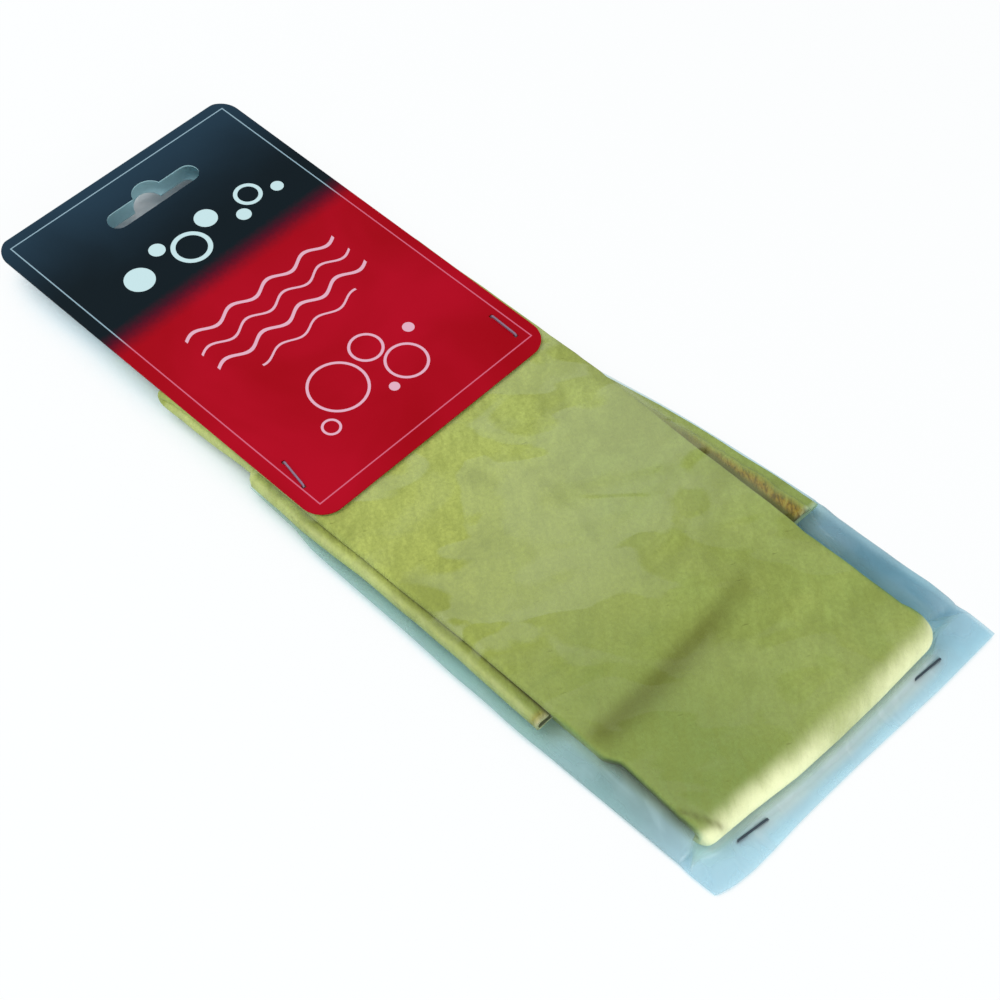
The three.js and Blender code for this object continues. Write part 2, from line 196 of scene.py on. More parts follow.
# Film: ranges along the packet in which a form or a look comes in or goes
MOUTH_OPENS = (124, 136)
PASSES_INNER_LEFT = (210, 221)
PASSES_INNER_RIGHT = (213, 221)
DARKENS_IN_GAP = (226, 233)
CLEARS_PAST_GAP = (254, 260)
DARKENS_BESIDE = (213, 224)
CLEARS_BESIDE = (240, 258)
TAIL_FLATTENS = (259, 263)
TAIL_VEILS = (260.6, 262.2)
TAIL_CRINKLES = (263, 266)
TAIL_EVENS = (262, 268)
TAIL_SPREADS = (263, SLEEVE_END_AT)
TAIL_PALES = (258, 261)
TAIL_DULLS = (264, 268)
SHADE_RIGHT_FADES = (250, 267)
LEFTWARD_FADES = (238, 266)

# Film: ranges across the packet in which a look comes in or goes
PALE_STARTS = (-40, -28)
PALE_STOPS = (30, 44)
SHADE_RIGHT_STARTS = (25, 42)
LEFTWARD_STARTS = (-36, -46)

# Film: steps of its mesh along the tube, then counts of its points round the tube
MOUTH_AT = 108.2
MOUTH_STEP = 1.4
MOUTH_TO = 136
FILM_STEP = 1.8
TAIL_STEP = 0.65
BOTTOM_COUNT = 18
FOOT_COUNT = 6
RISE_COUNT = 8
RIGHT_COUNT = 10
TOP_COUNT = 64

# Film: painted shadow in the hollow beside the tucked edge, for each point on the left from the top run down
GAP_SHADE = (0.0, 0.25, 0.8, 0.9, 0.7, 0.5, 0.3, 0.1)
LEFT_COUNT = len(GAP_SHADE)

# Card: heights that tell its faces apart, and the hang slot
FRONT_FACE_OVER = 11.25
INSIDE_BACK_UNDER = 11.2
INSIDE_FRONT_OVER = 10.6
SLOT_SHIFT = 2.1
SLOT_MIDDLE = 15.0
SLOT_HALF_WIDTH = 17.0
SLOT_HALF_HEIGHT = 6.0

# Card: print, with changes of its ground below the top fold, a border, bubbles as (across, below the top
# fold, radius, line where it is a ring) and waves as (below the top fold, half width, height, length, line)
# over this range the painted reflection on the dark ground fades
GLARE_FADES = (8, 45)
DARK_ENDS = (47, 52)
RED_STARTS = (50, 58)
LINES_REDDEN = (48, 58)
BORDER_SHIFT = 0.4
BORDER_MIDDLE = 66.1
BORDER_WIDTH = 78.0
BORDER_HEIGHT = 124.4
BORDER_LINE = 0.36
BUBBLES = (
    (-25, 38, 4.4), (-14.5, 33, 2.4), (-7, 39, 5.2, 1.4), (3, 33.5, 3.4), (11.5, 40, 2.2),
    (17.5, 35, 3.6, 1.2), (25.5, 38.5, 1.9), (-13, 104, 8.2, 0.8), (1.5, 99.5, 4.6, 0.8),
    (6, 110.5, 5.8, 0.8), (-2.5, 114.5, 1.5), (14.5, 102.5, 1.7), (-23.5, 112.5, 2.4, 0.7),
)
WAVES = (
    (64, 27, 1.3, 13.5, 1.1), (70.5, 27, 1.3, 13.5, 0.8), (77, 27, 1.3, 13.5, 1.1),
    (83.5, 18, 1.1, 13.5, 0.7),
)

FLOOR_HALF = 6.0

card_low, card_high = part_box("header_card")
x_shift = (card_low.x + card_high.x) / 2 / MM - CARD_SHIFT
top_y = card_high.y / MM


def place(x, along, z):
    """World points, in metres, of places in the packet."""
    y = top_y - along - x * END_SKEW * along / SLEEVE_END_AT
    return np.stack([x + x_shift, y, z], axis=-1) * MM


def by_marks(marks, along):
    return np.interp(along, [m[0] for m in marks], [m[1] for m in marks])


def smooth(low, high, value):
    t = np.clip((np.asarray(value, float) - low) / (high - low), 0, 1)
    return t * t * (3 - 2 * t)


def noise(x, y, size, seed):
    """Smooth seeded noise between -1 and 1, with features of about that size."""
    cells = np.random.default_rng(seed).uniform(-1, 1, (NOISE_CELLS, NOISE_CELLS))
    u = np.asarray(x, float) / size + 31.7
    v = np.asarray(y, float) / size + 57.3
    f = smooth(0, 1, u - np.floor(u))
    g = smooth(0, 1, v - np.floor(v))
    i = np.floor(u).astype(int) % NOISE_CELLS
    j = np.floor(v).astype(int) % NOISE_CELLS
    next_i = (i + 1) % NOISE_CELLS
    next_j = (j + 1) % NOISE_CELLS
    near = cells[i, j] * (1 - f) + cells[next_i, j] * f
    far = cells[i, next_j] * (1 - f) + cells[next_i, next_j] * f
    return near * (1 - g) + far * g


def mesh_object(name, points, faces, smooth_shaded=True):
    mesh = bpy.data.meshes.new(name)
    mesh.from_pydata(points.tolist(), [], faces)
    mesh.update()
    mesh.polygons.foreach_set("use_smooth", [smooth_shaded] * len(mesh.polygons))
    obj = bpy.data.objects.new(name, mesh)
    bpy.context.scene.collection.objects.link(obj)
    return obj


def float_attributes(obj, names, columns):
    for i, name in enumerate(names):
        made = obj.data.attributes.new(name, "FLOAT", "POINT")
        made.data.foreach_set("value", np.asarray(columns[:, i], np.float32))


def tube_faces(rings, count):
    faces = []
    for i in range(rings - 1):
        for j in range(count):
            k = (j + 1) % count
            faces.append((i * count + j, i * count + k, (i + 1) * count + k, (i + 1) * count + j))
    return faces


# Skin: four plies across, three runs along

def fold_point(turn):
    """A place on the lower fold's middle line, from 90 degrees on top to -90 below, with the way inwards."""
    reach, rise = (FOLD_REACH, FOLD_OVER) if turn > 0 else (FOLD_UNDER, FOLD_UNDER)
    c = math.cos(math.radians(turn))
    s = math.sin(math.radians(turn))
    size = math.hypot(c / reach, s / rise)
    along = LOW_FOLD_AT - STACK / 2 - reach * (1 - c)
    return along, BOTTOM_MID + FOLD_UNDER + rise * s, -c / reach / size, -s / rise / size


def skin_path():
    """Stations along the strip: place along, height, way across (along and up) and part of the strip."""
    rows = []
    top_turn_at = TOP_FOLD_AT + TOP_TURN + STACK / 2
    for along in np.arange(FREE_END_AT, top_turn_at, -INNER_STEP):
        rows.append((along, INNER_MID, 0, 1, INNER_RUN))
    for a in np.radians(np.linspace(-90, 90, 9)):
        at = top_turn_at - TOP_TURN * math.cos(a)
        rows.append((at, INNER_MID + TOP_TURN * (1 + math.sin(a)), math.cos(a), -math.sin(a), TOP_TURN_PART))
    under_card = np.arange(top_turn_at + 3, UNDER_CARD_TO, UNDER_CARD_STEP)
    in_sight = np.arange(UNDER_CARD_TO + 1, FOLD_FROM, TOP_STEP)
    for along in [*under_card, *in_sight]:
        drop = FOLD_DROP * float(smooth(DROP_FROM, DROP_TO, along))
        rows.append((along, TOP_MID - drop, 0, -1, TOP_RUN))
    for turn in [*np.linspace(90, 5, 18), *np.linspace(0, -90, 9)]:
        rows.append((*fold_point(turn), LOW_FOLD_PART))
    for along in np.arange(LOW_FOLD_AT - STACK - FOLD_UNDER, BOTTOM_END_AT, -BOTTOM_STEP):
        rows.append((along, BOTTOM_MID, 0, 1, BOTTOM_RUN))
    return np.array(rows)


def skin_edges(along, run):
    """Left and right edges of the strip at a station."""
    if run < TOP_RUN:
        left = by_marks(INNER_LEFT, along) + 0.14 * noise(along, 0, 7, 11)
        right = by_marks(INNER_RIGHT, along) + 0.3 * noise(along, 0, 11, 12)
    elif run < BOTTOM_RUN:
        ruffle = 0.35 * smooth(*EDGE_RUFFLES, along) * noise(along, 0, 3, 14)
        left = by_marks(TOP_LEFT, along) + 0.1 * noise(along, 0, 8, 13) + ruffle
        right = by_marks(TOP_RIGHT, along) + 0.22 * noise(along, 0, 10, 15)
        right = right + 0.1 * noise(along, 0, 3, 16)
    else:
        left = by_marks(BOTTOM_LEFT, along)
        right = by_marks(BOTTOM_RIGHT, along)
    return left, right


def skin_section(left, right, setback):
    """Middle line of the folded plies, with the way across it."""
    def level(ply):
        return STACK / 2 - PLY / 2 - ply * PITCH

    def arc(x, y, radius, start, end, steps):
        a = np.radians(np.linspace(start, end, steps))
        return np.stack([x + radius * np.cos(a), y + radius * np.sin(a)], axis=1)

    def flat(start, end, y, steps):
        return np.stack([np.linspace(start, end, steps + 2)[1:-1], np.full(steps, y)], axis=1)

    roll = 1.5 * PITCH
    turn = PITCH / 2
    roll_at = left + roll + PLY / 2
    turn_at = right - turn - PLY / 2
    raw_at = right - setback
    line = np.concatenate([
        [[raw_at, level(0)]],
        flat(raw_at, raw_at - RAW_FINE, level(0), 20),
        flat(raw_at - RAW_FINE, roll_at + ROLL_FINE, level(0), 16),
        flat(roll_at + ROLL_FINE, roll_at, level(0), 8),
        arc(roll_at, 0, roll, 90, 270, 15),
        flat(roll_at, turn_at, level(3), 70),
        arc(turn_at, level(2.5), turn, -90, 90, 9),
        flat(turn_at, roll_at + ROLL_HOLLOW, level(2), 10),
        arc(roll_at + ROLL_HOLLOW, 0, turn, 270, 90, 7),
        flat(roll_at + ROLL_HOLLOW, raw_at - RAW_STAGGER, level(1), 10),
        [[raw_at - RAW_STAGGER, level(1)]],
    ])
    way = np.gradient(line, axis=0)
    way /= np.linalg.norm(way, axis=1, keepdims=True)
    across = np.stack([-way[:, 1], way[:, 0]], axis=1)
    return line, across


def valley(x, along):
    """How far the top run has sunk just past the end of the run under it, from 0 to 1."""
    middle = by_marks(VALLEY_LINE, x)
    fade = smooth(*VALLEY_STARTS, x) * (1 - smooth(*VALLEY_FADES, x))
    width = np.where(along < middle, VALLEY_ABOVE, VALLEY_BELOW)
    return fade * np.exp(-(((along - middle) / width) ** 2))


def top_lift(x, along):
    """Waves of the top run, free of the card, in millimetres up."""
    free = smooth(*TOP_COMES_FREE, along) * (1 - 0.5 * smooth(*TOP_SETTLES, along))
    waves = 0.22 + 0.3 * noise(x, along, 34, 3) + 0.15 * noise(x, along, 13, 4)
    waves = waves + 0.06 * noise(x, along, 5, 5)
    return free * waves - VALLEY_DEEP * valley(x, along)


def corner_pull(x):
    """How far the lower fold's corners are drawn back along the packet."""
    right = np.clip((x - RIGHT_CORNER_FROM) / RIGHT_CORNER_WIDE, 0, 0.99)
    left = np.clip((LEFT_CORNER_FROM - x) / LEFT_CORNER_WIDE, 0, 0.99)
    right_pull = RIGHT_CORNER_PULL * (1 - np.sqrt(1 - right**2))
    return right_pull + LEFT_CORNER_PULL * (1 - np.sqrt(1 - left**2))


def skin_looks(x, along, at, level, left, raw_edge, run):
    """How much painted highlight and worn paleness, brown, painted shade, and painted shade under the tucked
    edge a ring of the skin gets, each from 0 to 1.
    along is the ring's station, and at is where each of its points lies."""
    inner = run == INNER_RUN
    top = run == TOP_RUN
    outer = run in (TOP_RUN, LOW_FOLD_PART)
    upper = level > 0.8
    from_left = x - left
    from_raw = x - raw_edge
    from_top = x - by_marks(TOP_RIGHT, along)

    # Painted highlight on the lower fold, less in the middle and in the tucked corner, and on the roll's
    # outer side; the cut free end is worn pale
    folded = smooth(*FOLD_HIGHLIGHT_GROWS, at - 0.03 * np.abs(x)) * outer
    folded = folded * (1 - 0.58 * np.exp(-(((x - 3) / 12) ** 2)) - 0.1 * smooth(8, 16, x))
    tucked = smooth(*TUCK_ACROSS, x) * (1 - smooth(*TUCK_HIDES, at)) * outer
    folded = folded * (1 - 0.8 * tucked)
    outside = np.maximum(smooth(0.9, 1.3, np.abs(level)), smooth(1.5, 0.6, from_left))
    # painted highlight on the roll's outer side
    roll = 0.15 * smooth(2.6, 0.6, from_left) * inner
    cut = 0.7 * (inner and along > FREE_END_AT - 0.9)
    highlight_and_wear = folded * outside + roll + cut

    # Brown: a band with fibre streaks beside the raw edge, and the cut free end of the roll
    fuzz = smooth(-9, -7, from_raw) * (1 - smooth(-2.8, 0.2, from_raw))
    at_cut = 0.45 * smooth(5, 3, from_left) * (inner and along > FREE_END_AT - 2)
    brown_tone = fuzz * upper * inner * smooth(*BAND_BROWNS, along) + at_cut

    # Shaded: the sunk line, the crease of the tucked corner, and both sides of the top run
    # the painted crease shade grows from faint by the card to full further down
    shade_growth = 0.35 + 0.65 * smooth(*CREASE_SHADE_GROWS, along)
    under_left = shade_growth * smooth(1.5, 0.5, from_left) * smooth(0.0, 0.8, level) * top
    by_roll = shade_growth * smooth(3.3, 4.3, from_left) * (x < 0) * upper * inner
    by_band = smooth(*BAND_SHADES, along) * (1 - smooth(2.4, 4.4, from_top))
    by_band = by_band * (x > 0) * upper * inner
    tuck = np.exp(-(((x + 43 - 0.6 * (at - 253)) / 0.9) ** 2))
    tuck = tuck * smooth(*TUCK_STARTS, at) * (1 - smooth(*TUCK_STOPS, at))
    sunk = (0.6 * valley(x, at) * top + 0.6 * tuck) * outer
    shade = sunk + under_left + by_roll + by_band

    # Painted shade at the left, in the hollow where the lower edge is tucked in
    side = smooth(-0.3, 0.5, level) if run < BOTTOM_RUN else 1.0
    hollow = smooth(4.0, 1.6, from_left) * side * (run >= TOP_RUN)
    shade_in_gap = hollow * smooth(*GAP_OPENS, along) * (1 - smooth(*GAP_CLOSES, along))
    return np.clip(np.stack([highlight_and_wear, brown_tone, shade, shade_in_gap], axis=1), 0, 1)


def build_skin():
    path = skin_path()
    points = []
    looks = []
    count = 0
    for along, z, way_along, way_up, run in path:
        left, right = skin_edges(along, run)
        setback = RAW_SETBACK + 0.5 * noise(along, 0, 4, 17) + 0.45 * noise(along, 0, 1.7, 18)
        line, across = skin_section(left, right, setback)
        ring = np.concatenate([line + across * PLY / 2, (line - across * PLY / 2)[::-1]])
        count = len(ring)
        x = ring[:, 0]
        puff = ROLL_PUFF if run == INNER_RUN else EDGE_PUFF
        level = ring[:, 1] * (1 + puff * smooth(left + 4.6, left + 1.4, x))
        at = along + way_along * level
        up = z + way_up * level
        if run == TOP_RUN:
            up = up + top_lift(x, at)
        elif run == LOW_FOLD_PART:
            up = up + max(0.0, -way_up) * top_lift(x, at)
        looks.append(skin_looks(x, along, at, level, left, right - setback, run))
        if run >= TOP_RUN:
            at = at + (by_marks(FOLD_PUSH, x) - corner_pull(x)) * smooth(*FOLD_PUSHES, at)
        elif run == INNER_RUN:
            at = at - FREE_END_LEAN * smooth(*LEAN_ACROSS, x) * smooth(*FREE_END_LEANS, at)
        points.append(place(x, at, up))
    rings = len(path)
    faces = tube_faces(rings, count)
    last = (rings - 1) * count
    for j in range(count // 2 - 1):
        faces.append((count - 2 - j, count - 1 - j, j, j + 1))
        faces.append((last + j + 1, last + j, last + count - 1 - j, last + count - 2 - j))
    skin = mesh_object("chamois_skin_folded", np.concatenate(points), faces)
    float_attributes(skin, ("highlight_and_wear", "brown_tone", "shade", "shade_in_gap"), np.concatenate(looks))
    return skin


# Film sleeve

def top_surface(x, along):
    """Height of the top run's upper face."""
    drop = FOLD_DROP * smooth(DROP_FROM, DROP_TO, along)
    return TOP_MID + STACK / 2 - drop + top_lift(x, along)


def film_ring(along, roof):
    """One ring of the film: bottom from left to right, right side up, top from right to left, left side down.

    roof is the height of the film over the lower fold, or None where the film lies on the top run. The
    columns are x, height, how veiled the film is, and how much painted shadow darkens it beside the skin.
    """
    low = by_marks(FILM_LOW, along)
    foot = [by_marks(FOOT_LEFT, along), by_marks(BOTTOM_RIGHT, along) + 0.3]
    crease = (by_marks(CREASE_LEFT, along), by_marks(CREASE_RIGHT, along))
    crease_high = (by_marks(CREASE_LEFT_HIGH, along), by_marks(CREASE_RIGHT_HIGH, along))
    head = [by_marks(TOP_LEFT, along) + 0.6, by_marks(TOP_RIGHT, along) - 0.4]
    inner = (by_marks(INNER_LEFT, along) - 0.45, by_marks(INNER_RIGHT, along) + 0.3)
    past = (float(smooth(*PASSES_INNER_LEFT, along)), float(smooth(*PASSES_INNER_RIGHT, along)))
    # painted shadow beside the skin: in the hollow by the tucked edge on the left, and beside the top run on
    # the right
    in_gap = float(smooth(*DARKENS_IN_GAP, along) * (1 - smooth(*CLEARS_PAST_GAP, along)))
    beside = 0.35 * float(smooth(*DARKENS_BESIDE, along) * (1 - smooth(*CLEARS_BESIDE, along)))
    loose = 0.35 + 0.65 * float(smooth(*MOUTH_OPENS, along))
    flat = float(smooth(*TAIL_FLATTENS, along))
    shoulder = []
    shoulder_high = []
    head_high = []
    for side in (0, 1):
        high = float(top_surface(head[side], along)) + FILM_GAP if roof is None else roof
        over_inner = OVER_INNER_HIGH[side]
        halfway = crease[side] + 0.6 * (head[side] - crease[side])
        halfway_high = crease_high[side] + 0.6 * (high - crease_high[side])
        x = inner[side] + (halfway - inner[side]) * past[side]
        z = over_inner + (halfway_high - over_inner) * past[side]
        shoulder.append(x + (crease[side] - x) * flat)
        shoulder_high.append(crease_high[side] + 0.1 if flat > 0 else z)
        head_high.append(high)
        head[side] += (crease[side] - head[side]) * flat * 0.98
        foot[side] += (crease[side] - foot[side]) * flat * 0.98

    def span(a, b, steps, veil, near=(0.0, 0.0)):
        t = np.linspace(0, 1, steps, endpoint=False)
        rows = [a[0] + (b[0] - a[0]) * t, a[1] + (b[1] - a[1]) * t]
        rows += [veil[0] + (veil[1] - veil[0]) * t, near[0] + (near[1] - near[0]) * t]
        return np.stack(rows, axis=1)

    feet = [(foot[side], low) for side in (0, 1)]
    creases = [(crease[side], crease_high[side]) for side in (0, 1)]
    shoulders = [(shoulder[side], shoulder_high[side]) for side in (0, 1)]
    heads = [(head[side], head_high[side]) for side in (0, 1)]
    over_roll = 0.06 + 0.94 * past[0]
    over_band = 0.06 + 0.94 * past[1]
    ring = np.concatenate([
        span(feet[0], feet[1], BOTTOM_COUNT, (0.0, 0.0)),
        span(feet[1], creases[1], FOOT_COUNT, (1.0, 1.0)),
        span(creases[1], shoulders[1], RISE_COUNT, (1.0, over_band), (0.0, 0.4 * beside)),
        span(shoulders[1], heads[1], RIGHT_COUNT, (over_band, 0.3 * past[1]), (0.4 * beside, beside)),
        span(heads[1], heads[0], TOP_COUNT, (0.0, 0.0)),
        span(heads[0], shoulders[0], LEFT_COUNT, (0.0, over_roll), (0.0, 0.3 * in_gap)),
        span(shoulders[0], creases[0], RISE_COUNT, (over_roll * loose, loose), (0.3 * in_gap, 0.0)),
        span(creases[0], feet[0], FOOT_COUNT, (loose, loose)),
    ])
    top_from = BOTTOM_COUNT + FOOT_COUNT + RISE_COUNT + RIGHT_COUNT
    top_to = top_from + TOP_COUNT
    if roof is None:
        ring[top_from:top_to, 1] = top_surface(ring[top_from:top_to, 0], along) + FILM_GAP
    ring = (np.roll(ring, 1, axis=0) + 2 * ring + np.roll(ring, -1, axis=0)) / 4
    ring[top_to:top_to + LEFT_COUNT, 3] += in_gap * np.array(GAP_SHADE)
    ring[:, 2] += (1 - ring[:, 2]) * 0.95 * float(smooth(*TAIL_VEILS, along))
    return ring


def build_film():
    on_top = [*np.arange(MOUTH_AT, MOUTH_TO, MOUTH_STEP), *np.arange(MOUTH_TO, FOLD_FROM, FILM_STEP)]
    stations = [(along, None) for along in on_top]
    for turn in np.linspace(90, 0, 14):
        along, z, way_along, way_up = fold_point(turn)
        out = STACK / 2 + FILM_GAP
        stations.append((along - way_along * out, z - way_up * out))
    stations += LEAVES_FOLD
    stations += [(along, TAIL_HIGH) for along in np.arange(TAIL_FROM, SLEEVE_END_AT + 0.1, TAIL_STEP)]
    points = []
    looks = []
    count = 0
    for along, roof in stations:
        x, z, veil, near = film_ring(along, roof).T
        count = len(x)
        wave = 0.25 * noise(x, along, 9, 21) + 0.12 * noise(x, along, 4, 22)
        z = np.maximum(z + wave * veil * (z > 1.5) * (along < TAIL_FLATTENS[0]), 0.3)
        z = z + np.abs(wave) * 0.8 * smooth(*TAIL_CRINKLES, along) * (z > 1.0)
        push = by_marks(FOLD_PUSH, x) - 0.8 * corner_pull(x)
        at = along + push * smooth(*FOLD_PUSHES, along) * (1 - smooth(*TAIL_EVENS, along))
        at = at + (by_marks(TAIL_END, x) - SLEEVE_END_AT) * smooth(*TAIL_SPREADS, along)
        points.append(place(x, at, z))
        pale = smooth(*TAIL_PALES, along) * (1 - smooth(*TAIL_DULLS, along))
        pale = pale * smooth(*PALE_STARTS, x) * (1 - smooth(*PALE_STOPS, x)) * (z > 1.0)
        # painted shade on the film's right side, fading towards the lower end
        painted_right_shade = smooth(*SHADE_RIGHT_STARTS, x) * (1 - 0.8 * smooth(*SHADE_RIGHT_FADES, along))
        leftward = smooth(*LEFTWARD_STARTS, x) * (1 - smooth(*LEFTWARD_FADES, along))
        looks.append(np.stack([veil, near, painted_right_shade, leftward, pale], axis=1))
    film = mesh_object("film_sleeve_clear", np.concatenate(points), tube_faces(len(stations), count))
    looks = np.clip(np.concatenate(looks), 0, 1)
    float_attributes(film, ("veil", "near", "painted_right_shade", "leftward", "pale"), looks)
    return film


# Materials

def linear(red, green, blue):
    """A colour given as it looks on screen, 0 to 255."""
    def channel(value):
        v = value / 255
        return v / 12.92 if v <= 0.04045 else ((v + 0.055) / 1.055) ** 2.4
    return (channel(red), channel(green), channel(blue), 1.0)


def material(name):
    made = bpy.data.materials.new(name)
    made.use_nodes = True
    made.node_tree.nodes.clear()
    return made, made.node_tree


def add(tree, kind, inputs=None, **settings):
    made = tree.nodes.new(kind)
    for key, value in settings.items():
        setattr(made, key, value)
    for key, value in (inputs or {}).items():
        if isinstance(value, bpy.types.NodeSocket):
            tree.links.new(value, made.inputs[key])
        else:
            made.inputs[key].default_value = value
    return made


def calc(tree, operation, a, b=0.0, clamp=False):
    return add(tree, "ShaderNodeMath", {0: a, 1: b}, operation=operation, use_clamp=clamp).outputs[0]


def plus(tree, a, b):
    return calc(tree, "ADD", a, b)


def times(tree, a, b):
    return calc(tree, "MULTIPLY", a, b)


def over(tree, a, b):
    return calc(tree, "GREATER_THAN", a, b)


def under(tree, a, b):
    return calc(tree, "LESS_THAN", a, b)


def larger(tree, a, b):
    return calc(tree, "MAXIMUM", a, b)


def away(tree, a, b):
    """How far two values lie apart."""
    return calc(tree, "ABSOLUTE", calc(tree, "SUBTRACT", a, b))


def ramp(tree, value, low, high, to_low=0.0, to_high=1.0):
    """A smooth change of a value between two ends."""
    inputs = {"Value": value, "From Min": low, "From Max": high, "To Min": to_low, "To Max": to_high}
    return add(tree, "ShaderNodeMapRange", inputs, interpolation_type="SMOOTHSTEP").outputs[0]


def blend(tree, factor, a, b):
    return add(tree, "ShaderNodeMix", {0: factor, 6: a, 7: b}, data_type="RGBA", blend_type="MIX").outputs[2]


def blend_value(tree, factor, a, b):
    return add(tree, "ShaderNodeMix", {0: factor, 2: a, 3: b}).outputs[0]


def cloud(tree, vector, scale, detail=3.0, rough=0.55, warp=0.0):
    inputs = {"Vector": vector, "Scale": scale, "Detail": detail, "Roughness": rough, "Distortion": warp}
    return add(tree, "ShaderNodeTexNoise", inputs).outputs["Fac"]


def object_place(tree):
    return add(tree, "ShaderNodeTexCoord").outputs["Object"]


def stretched(tree, vector, rates, turn):
    """Coordinates turned about the vertical, then scaled by a rate along each turned axis."""
    inputs = {"Vector": vector, "Scale": tuple(1 / rate for rate in rates), "Rotation": (0, 0, turn)}
    return add(tree, "ShaderNodeMapping", inputs, vector_type="TEXTURE").outputs[0]


def attribute(tree, name):
    return add(tree, "ShaderNodeAttribute", attribute_name=name).outputs["Fac"]


def bumped(tree, height, strength, distance):
    inputs = {"Strength": strength, "Distance": distance, "Height": height}
    return add(tree, "ShaderNodeBump", inputs).outputs[0]


def output(tree, surface):
    add(tree, "ShaderNodeOutputMaterial", {"Surface": surface})


def chamois_material():
    made, tree = material("chamois")
    at = object_place(tree)
    across, up_along = add(tree, "ShaderNodeSeparateXYZ", {0: at}).outputs[:2]

    # Broad tints: greener from side to side, with painted shade darker to the right, painted light by the
    # card, mottled, dusky, and painted shade towards the lower end
    broad = cloud(tree, at, 24, 3, 0.5, 0.6)
    # greener to the right, and a little darker there as painted shade
    side = ramp(tree, across, -0.05, 0.045)
    tint = ramp(tree, plus(tree, times(tree, side, 0.6), times(tree, broad, 0.8)), 0.35, 1.05)
    colour = blend(tree, tint, linear(176, 183, 84), linear(159, 175, 89))
    # painted light: lighter towards the card
    painted_light_by_card = ramp(tree, up_along, -0.05, 0.0, 0, 0.65)
    colour = blend(tree, painted_light_by_card, colour, linear(190, 200, 108))
    mottle = cloud(tree, at, 95, 5, 0.6, 0.4)
    colour = blend(tree, ramp(tree, mottle, 0.4, 0.7, 0, 0.5), colour, linear(176, 186, 98))
    dusk = cloud(tree, at, 40, 4, 0.6, 1.0)
    colour = blend(tree, ramp(tree, dusk, 0.46, 0.66, 0, 0.48), colour, linear(128, 136, 56))
    # painted shade: darker towards the lower end, more on the left
    lower = ramp(tree, plus(tree, up_along, times(tree, broad, 0.03)), 0.01, -0.1, 0, 1)
    lower = times(tree, lower, ramp(tree, across, -0.03, 0.02, 0.9, 0.25))
    colour = blend(tree, lower, colour, linear(126, 146, 76))

    # Fine marks: grain, lying nap and small nicks
    grain = cloud(tree, at, 950, 3, 0.65)
    colour = blend(tree, ramp(tree, grain, 0.3, 0.7, 0, 0.32), colour, linear(120, 128, 60))
    nap = cloud(tree, stretched(tree, at, (110, 340, 200), 0.9), 1.0, 4, 0.6, 0.4)
    colour = blend(tree, ramp(tree, nap, 0.38, 0.68, 0, 0.32), colour, linear(128, 138, 62))
    nick = cloud(tree, stretched(tree, at, (260, 1500, 400), -0.5), 1.0, 2, 0.5)
    colour = blend(tree, ramp(tree, nick, 0.7, 0.78, 0, 0.55), colour, linear(100, 104, 44))

    # Looks that the mesh carries: painted highlight on the folds and the roll with ragged borders and the
    # worn pale cut end, brown strands, painted shade, and painted shade under the tucked edge
    streak = cloud(tree, stretched(tree, at, (70, 230, 150), 1.0), 1.0, 4, 0.6)
    highlight_and_wear = attribute(tree, "highlight_and_wear")
    ragged = times(tree, highlight_and_wear, calc(tree, "SUBTRACT", 1.0, highlight_and_wear))
    ragged = times(tree, ragged, ramp(tree, streak, 0.3, 0.7, -0.4, 0.4))
    highlight_and_wear = calc(tree, "ADD", highlight_and_wear, ragged, clamp=True)
    # painted highlight on the lower fold and the roll, and the worn pale cut end
    colour = blend(tree, highlight_and_wear, colour, linear(254, 255, 204))
    fibre = cloud(tree, stretched(tree, at, (380, 1250, 900), 0.8), 1.0, 4, 0.7)
    brown_tone = times(tree, attribute(tree, "brown_tone"), ramp(tree, fibre, 0.34, 0.5, 0.55, 1.0))
    strands = blend(tree, ramp(tree, fibre, 0.4, 0.62), linear(172, 138, 38), linear(98, 76, 10))
    # brown strands on the band beside the raw edge and at the cut free end
    colour = blend(tree, brown_tone, colour, strands)
    # painted shade in the sunk line, the tucked corner's crease and beside the top run
    colour = blend(tree, attribute(tree, "shade"), colour, linear(80, 80, 14))
    # painted shade under the tucked edge at the left
    colour = blend(tree, attribute(tree, "shade_in_gap"), colour, linear(36, 42, 18))

    height = plus(tree, times(tree, grain, 0.5), times(tree, mottle, 1.6))
    height = plus(tree, height, times(tree, nap, -1.2))
    height = plus(tree, height, times(tree, brown_tone, fibre))
    shader = add(tree, "ShaderNodeBsdfPrincipled", {
        "Base Color": colour, "Roughness": ramp(tree, mottle, 0.3, 0.7, 0.78, 0.9),
        "Normal": bumped(tree, height, 0.5, 0.0009),
        "Specular IOR Level": 0.2, "Sheen Weight": 0.1, "Sheen Roughness": 0.5,
    })
    output(tree, shader.outputs[0])
    return made


